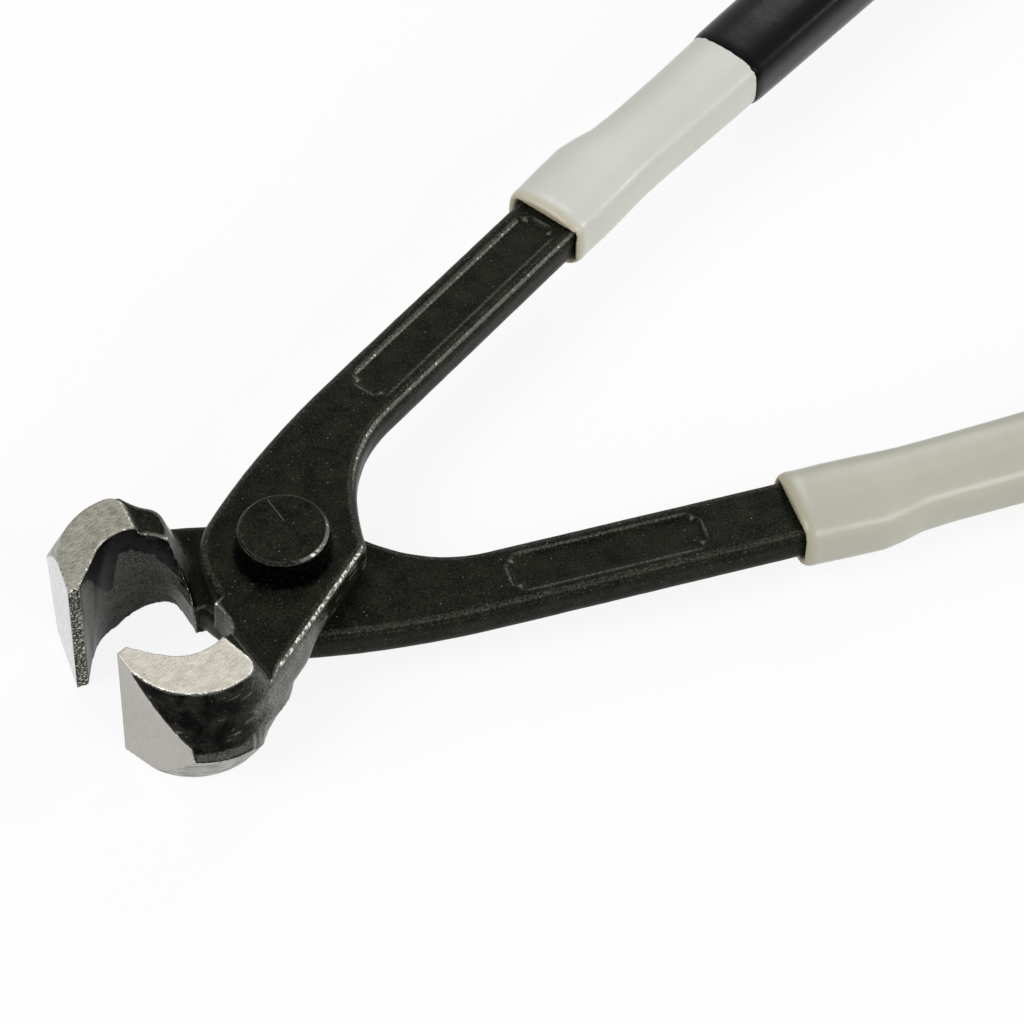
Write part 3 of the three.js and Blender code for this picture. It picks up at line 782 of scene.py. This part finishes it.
def part_at(bm, half, keep_front):
    """Cuts a half across its arm, where the grey sleeve hides the joint."""
    along = Vector(ARM_WAY)
    place = ARM_ROOT + along * HIDDEN_FROM
    turn = Matrix.Rotation(HALF_TURN, 3, "Z")
    place, along = turn @ place, turn @ along
    if half == "lower":
        place.y, along.y = -place.y, -along.y
    cut = bmesh.ops.bisect_plane(
        bm,
        geom=bm.verts[:] + bm.edges[:] + bm.faces[:],
        plane_co=(place + Vector((0, 0, LAP))) * MM,
        plane_no=along,
        clear_outer=keep_front,
        clear_inner=not keep_front,
    )
    rim = [part for part in cut["geom_cut"] if isinstance(part, bmesh.types.BMEdge)]
    bmesh.ops.holes_fill(bm, edges=rim)


def dress_half(half, steel):
    """A half's forging: the jaw with its arm, and the tang that the sleeves hide."""
    node = f"{half}_half"
    whole = merged_copy(node)
    front, tang = whole.copy(), whole.copy()
    part_at(front, half, True)
    part_at(tang, half, False)
    tang = new_piece(tang, f"{half}_tang")
    front = new_piece(front, f"{half}_jaw_and_arm")
    refine(front, *FACES["half"])

    mesh = front.data
    points = read(mesh.vertices, "co", 3)
    out, normals = crests(mesh, points)
    place = closed(points, half)
    facing = closed(normals, half, place=False)
    ground, zones = ground_marks(whole, half, points, place)
    whole.free()
    marks = enamel_marks(place, facing, normals, ground)
    points += normals * forged_skin(place, facing, ground, out)[:, None] * MM
    if half == "upper":
        paint_ring_and_shade(points, place, facing, marks)
    for spans, shift in FORMS[half]:
        points += opened(faded(place, spans)[:, None] * np.array(shift), half)
    place_points(mesh, points)
    crest = np.clip(out / (CREST_HEIGHT * MM), 0, 1) * (ground < CREST_REACH)
    write(mesh, ground=ground, crest=crest, **zones, **marks)
    finish(front, steel, half, node)
    finish(tang, steel, half, node)


def shape_collar(mesh, points, half, place, front):
    """Rolls the front end of a grey sleeve to a thick lip, and tucks its back under the black."""
    along = np.array(ARM_WAY)
    facing = closed(read(mesh.vertex_normals, "vector", 3), half, place=False)
    from_middle = place - place[front < LIP_PART].mean(0)
    from_middle -= (from_middle @ along)[:, None] * along
    outer = eased((from_middle * facing).sum(1), *OUTER_SKIN)[:, None]
    lip = eased(front, *LIP_FADE)[:, None]
    past_end = front - COLLAR_END
    tuck = TUCK * eased(past_end, *TUCK_FADE_IN) * eased(past_end, *TUCK_FADE_OUT)
    shift = LIP_BULGE * lip * outer * facing + tuck[:, None] * along
    points += (softened(mesh, points, LIP_ROUNDS) - points) * lip + opened(shift, half)
    place_points(mesh, points)


def dress_sleeve(half, part, material):
    """A dipped sleeve, with how far each point is from its front end."""
    node = f"{half}_grip_{part}"
    piece = new_piece(merged_copy(node), f"{half}_{part}")
    refine(piece, *FACES[part])
    mesh = piece.data
    points = read(mesh.vertices, "co", 3)
    place = closed(points, half)
    front = (place - np.array(ARM_ROOT)) @ np.array(ARM_WAY)
    front -= front.min()
    if part == "collar":
        shape_collar(mesh, points, half, place, front)
    write(mesh, front=front)
    finish(piece, material, half, node)


def dress_rivet(steel):
    """The rivet with both heads, painted with the tool, and a scratch on the upper one."""
    piece = new_piece(merged_copy("pivot_rivet"), "rivet")
    refine(piece, *FACES["rivet"])
    mesh = piece.data
    points = read(mesh.vertices, "co", 3)
    out, normals = crests(mesh, points)
    height, width = HEAD_LUMPS
    points += normals * height * clouds(points / MM, width)[:, None] * MM
    place_points(mesh, points)

    start, end = (np.array(spot) for spot in SCRATCH)
    spots, line = points[:, :2] / MM - start, end - start
    share = np.clip(spots @ line / (line @ line), 0, 1)
    off = np.linalg.norm(spots - share[:, None] * line, axis=1)
    write(
        mesh,
        ground=np.full(len(points), -float(RIM_LIMIT)),
        crest=np.clip(out / (CREST_HEIGHT * MM), 0, 1),
        # A glint is painted as worn dots on the edge facing the glint's way, and a shade on the
        # side
        rubbed=HEAD_GLINT * eased(normals @ np.array(GLINT_WAY), *HEAD_GLINT_FADE),
        pooled=HEAD_SIDE_SHADE * (np.abs(normals[:, 2]) < FLAT),
        scratch=np.clip(1 - off / SCRATCH_FADE, 0, 1) * (normals[:, 2] > HEAD_TOP),
    )
    finish(piece, steel, "upper", "pivot_rivet")


def dress_tool():
    """Every piece, each half in its own tones of steel and of grey; the steel's are painted light.
    """
    # The lower half's darker crescents and near-white bevels are painted shade and painted
    # reflection
    steels = {
        "upper": forged_steel(
            "enamelled_forged_steel_upper", ("#98948a", "#d6d2c6"), ("#aba8a3", "#bebbb6")
        ),
        "lower": forged_steel(
            "enamelled_forged_steel_lower", ("#4e4b43", "#b2afa4"), ("#c6c7c9", "#f2f2f0")
        ),
    }
    # The lower grey is a darker copy of the upper one
    greys = {
        "upper": vinyl(
            "grey_dipped_vinyl_upper", ("#bfc0b6", "#c8c9c0"), "#b5ac90", 0.3, "#ffffff"
        ),
        "lower": vinyl(
            "grey_dipped_vinyl_lower", ("#a9a89a", "#b2b1a3"), "#a49c82", 0.3, "#ffffff"
        ),
    }
    black = vinyl("black_dipped_vinyl", ("#040506", "#0a0b0d"), "#08090a", 0.22, "#606060")
    for half, steel in steels.items():
        dress_half(half, steel)
        dress_sleeve(half, "collar", greys[half])
        dress_sleeve(half, "sleeve", black)
    dress_rivet(steels["upper"])


def seen_share(tree):
    """1 for rays that the eye sees the background by: straight, mirrored or through glass."""
    path = add(tree, "LightPath")
    mirrored = add(
        tree,
        "Math",
        {0: path.outputs["Is Glossy Ray"], 1: path.outputs["Is Transmission Ray"]},
        operation="MAXIMUM",
    )
    return add(tree, "Math", {0: path.outputs["Is Camera Ray"], 1: mirrored}, operation="MAXIMUM")


def white_floor():
    """A wide sheet of white card, just under the tool, that keeps its shadow."""
    bm = bmesh.new()
    bmesh.ops.create_grid(bm, x_segments=1, y_segments=1, size=3)
    bmesh.ops.translate(bm, verts=bm.verts, vec=(0, 0, cad_box[0][2] - 0.1 * MM))
    floor = new_piece(bm, "floor")
    material, tree, _ = new_material("white_card")
    card = add(
        tree,
        "BsdfPrincipled",
        {"Base Color": linear("#f2f2f2"), "Roughness": 0.9, "Specular IOR Level": 0},
    )

    # To the eye most of it glows white, and what is left of the card keeps the shadow
    white = add(tree, "Emission", {"Strength": 1.0})
    share = add(tree, "Math", {0: seen_share(tree), 1: 0.88}, operation="MULTIPLY")
    both = add(tree, "MixShader", {0: share, 1: card, 2: white})
    add(tree, "OutputMaterial", {"Surface": both})
    floor.data.materials.append(material)


def studio():
    """A plain white room, dim as a light, with four soft lamps."""
    world = bpy.data.worlds.new("studio")
    scene.world = world
    world.use_nodes = True
    tree = world.node_tree
    tree.nodes.clear()
    dim = add(tree, "Background", {"Color": (1, 1, 1, 1), "Strength": 0.4})
    white = add(tree, "Background", {"Color": (1, 1, 1, 1), "Strength": 1.0})
    both = add(tree, "MixShader", {0: seen_share(tree), 1: dim, 2: white})
    add(tree, "OutputWorld", {"Surface": both})
    aim = Vector((0.02, 0, 0))

    # Each lamp's place and size in metres, and its power in watts
    for name, place, size, power in (
        ("key_softbox", (-0.7, 0.1, 0.9), 0.6, 6),
        ("front_softbox", (0.25, -0.9, 0.55), 0.5, 4),
        ("rim_softbox", (0.8, 0.6, 0.7), 0.4, 2),
        ("side_strip", (0.95, -0.38, 0.3), 0.15, 2),
    ):
        data = bpy.data.lights.new(name, "AREA")
        data.size = size
        data.energy = power
        lamp = bpy.data.objects.new(name, data)
        lamp.location = place
        lamp.rotation_euler = (aim - Vector(place)).to_track_quat("-Z", "Y").to_euler()
        scene.collection.objects.link(lamp)
    scene.view_settings.view_transform = "Standard"


def photo_camera():
    """The camera that took the photograph, found from the tool's outlines in it."""
    place = Vector((-202.65, -332.27, 502.25)) * MM
    azimuth, fall, roll = (math.radians(angle) for angle in (53.876, 50.992, -1.526))
    level = Vector((math.cos(azimuth), math.sin(azimuth), 0))
    forward = level * math.cos(fall) - Vector((0, 0, math.sin(fall)))
    right = Vector((math.sin(azimuth), -math.cos(azimuth), 0))
    up = right.cross(forward)
    turn = Matrix((right, up, -forward)).transposed().to_4x4()
    data = bpy.data.cameras.new("photo_camera")
    data.sensor_width = 36
    data.lens = 154.7
    data.clip_start = 0.01
    camera = bpy.data.objects.new("photo_camera", data)
    camera.matrix_world = Matrix.Translation(place) @ turn @ Matrix.Rotation(-roll, 4, "Z")
    scene.collection.objects.link(camera)
    scene.camera = camera


dress_tool()
white_floor()
studio()
photo_camera()
